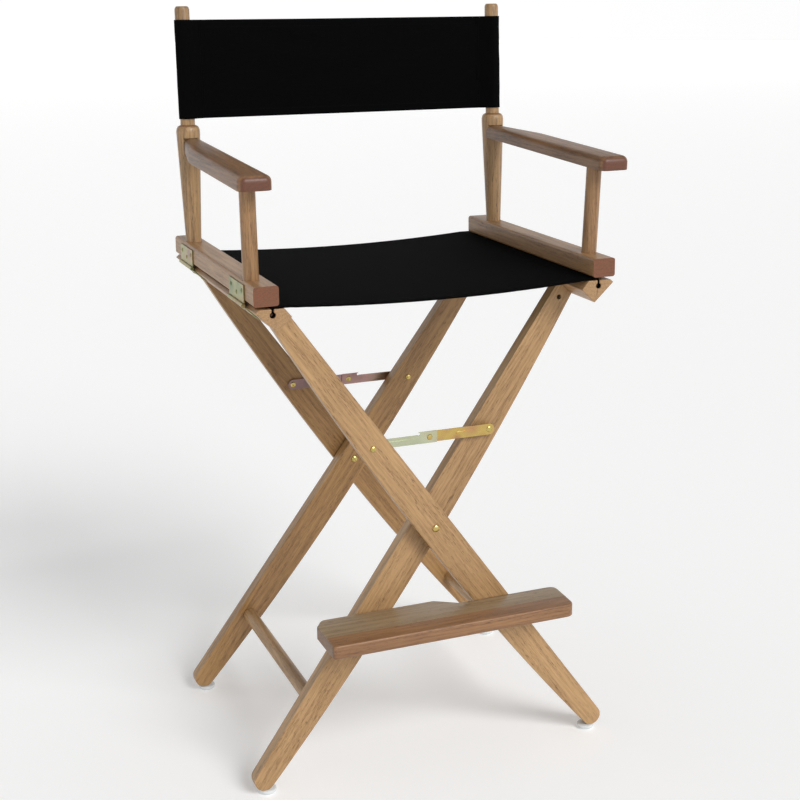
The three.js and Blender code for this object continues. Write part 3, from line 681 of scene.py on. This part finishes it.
for side, body in ((-1, "left_arm"), (1, "right_arm")):
    sleeve = back_sleeve(side)
    thicken(sleeve, THICK)
    rows = []
    for x in (SEAM_X - 0.5 * MM, SEAM_X - 3.5 * MM):
        for y, facing in ((-1.0 * MM - HALF_THICK, -1), (1.2 * MM + HALF_THICK, 1)):
            ends = (LOW_Z + 2 * MM, HIGH_Z - 2 * MM)
            low, high = (rake @ Vector((side * x, y, z)) for z in ends)
            rows.append((low, high, (0, facing, 0)))
    seam = stitches("canvas_back_seam_" + ("right" if side > 0 else "left"), rows, thread)
    for piece in (sleeve, seam):
        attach(piece, body)
    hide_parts("back_canvas")


# ---- hinge screws ----------------------------------------------------------------------------
def screw(bm, place, normal, spin, r=3.3 * MM):
    """A low oval-head screw with a cross recess, its head lying on `place`."""
    up = Vector(normal).normalized()
    turn = up.to_track_quat("Z", "Y").to_matrix().to_4x4() @ Matrix.Rotation(spin, 4, "Z")
    at = Matrix.Translation(place) @ turn
    count = 16

    def corner(k, radius, height):
        a = 2 * math.pi * k / count
        return bm.verts.new(at @ (Vector((radius * math.cos(a), radius * math.sin(a), height)) * r))

    rings = [(1.0, 0.0), (0.93, 0.12), (0.7, 0.24), (0.42, 0.3)]
    loops = [[corner(k, *ring) for k in range(count)] for ring in rings]
    for low, high in zip(loops, loops[1:]):
        for k in range(count):
            bm.faces.new((low[k], low[(k + 1) % count], high[(k + 1) % count], high[k]))
    inner = [corner(k, *((0.16, 0.04) if k % 4 else (0.36, 0.02))) for k in range(count)]
    for k in range(count):
        bm.faces.new((loops[-1][k], loops[-1][(k + 1) % count], inner[(k + 1) % count], inner[k]))
    bm.faces.new(inner)
    bm.faces.new(list(reversed(loops[0])))


def screws(name, spots, body):
    """One piece of screws at (place, normal) spots, each turned a little further than the last."""
    bm = bmesh.new()
    for number, (place, normal) in enumerate(spots):
        screw(bm, place, normal, 0.7 + 1.9 * number)
    mesh = bpy.data.meshes.new(name)
    bm.to_mesh(mesh)
    bm.free()
    for polygon in mesh.polygons:
        polygon.use_smooth = True
    obj = bpy.data.objects.new(name, mesh)
    scene.collection.objects.link(obj)
    mesh.materials.append(zinc)
    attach(obj, body)


HINGE_Z = 758.8 * MM  # the pins' height
LEAF_FACE = 1.8 * MM  # a leaf's outside, from the wood that it lies on
SCREW_SPOTS = ((-28, 20), (0, 13), (28, 20))  # along the leaf and away from its pin, in mm
RAIL_EDGE = Vector((279.3 * MM, 0, 755.5 * MM))  # top of the rail's sloping outer face
RAIL_OUT = Vector((0.6826, 0, -0.7308))
RAIL_DOWN = Vector((-0.7308, 0, -0.6826))
for side, sign in (("left", -1), ("right", 1)):
    for place in ("front", "rear"):
        low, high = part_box(f"hinge_arm_leaf_{side}_{place}")
        middle = (low.y + high.y) / 2
        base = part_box(f"arm_base_{side}")
        face = max(-base[0].x, base[1].x) + LEAF_FACE
        spots = [
            (Vector((sign * face, middle + dy * MM, HINGE_Z + up * MM)), (sign, 0, 0))
            for dy, up in SCREW_SPOTS
        ]
        screws(f"screws_arm_{side}_{place}", spots, f"{side}_arm")
        spots = []
        for dy, down in SCREW_SPOTS:
            at = RAIL_EDGE + RAIL_DOWN * (down * MM) + RAIL_OUT * LEAF_FACE
            spot = Vector((sign * at.x, middle + dy * MM, at.z))
            spots.append((spot, (sign * RAIL_OUT.x, 0, RAIL_OUT.z)))
        screws(f"screws_rail_{side}_{place}", spots, "outer_frame" if sign < 0 else "inner_frame")

# ---- floor, light and air --------------------------------------------------------------------
FLOOR_RADIUS, WALL_RADIUS, WALL_HEIGHT = 30, 29.5, 14

bpy.ops.mesh.primitive_circle_add(vertices=96, radius=FLOOR_RADIUS, fill_type="NGON")
floor = bpy.context.object
floor.name = "floor"
floor_look = Nodes("pale_floor")
floor.data.materials.append(
    floor_look.finish(
        base_color=(0.95, 0.95, 0.95, 1),
        roughness=0.9,
        emission_color=(1, 1, 1, 1),
        emission_strength=0.12,
    )
)

# A plain pale wall far round the floor, so that no horizon shows.
bpy.ops.mesh.primitive_cylinder_add(
    vertices=96,
    radius=WALL_RADIUS,
    depth=WALL_HEIGHT,
    end_fill_type="NOTHING",
    location=(0, 0, WALL_HEIGHT / 2),
)
wall = bpy.context.object
wall.name = "wall"
wall_look = Nodes("pale_wall")
wall.data.materials.append(
    wall_look.finish(
        base_color=(0.1, 0.1, 0.1, 1),
        roughness=1.0,
        emission_color=(1, 1, 1, 1),
        emission_strength=0.86,
    )
)

world = bpy.data.worlds.new("studio")
world.use_nodes = True
sky = world.node_tree.nodes["Background"]
sky.inputs["Color"].default_value = (1, 1, 1, 1)
sky.inputs["Strength"].default_value = 0.36
scene.world = world
scene.view_settings.view_transform = "Standard"

key = bpy.data.objects.new("key", bpy.data.lights.new("key", "SUN"))
key.data.energy = 2.3
key.data.angle = math.radians(30)
towards_sun = Vector((0.34, -0.86, 0.62))
key.rotation_euler = towards_sun.to_track_quat("Z", "Y").to_euler()
scene.collection.objects.link(key)
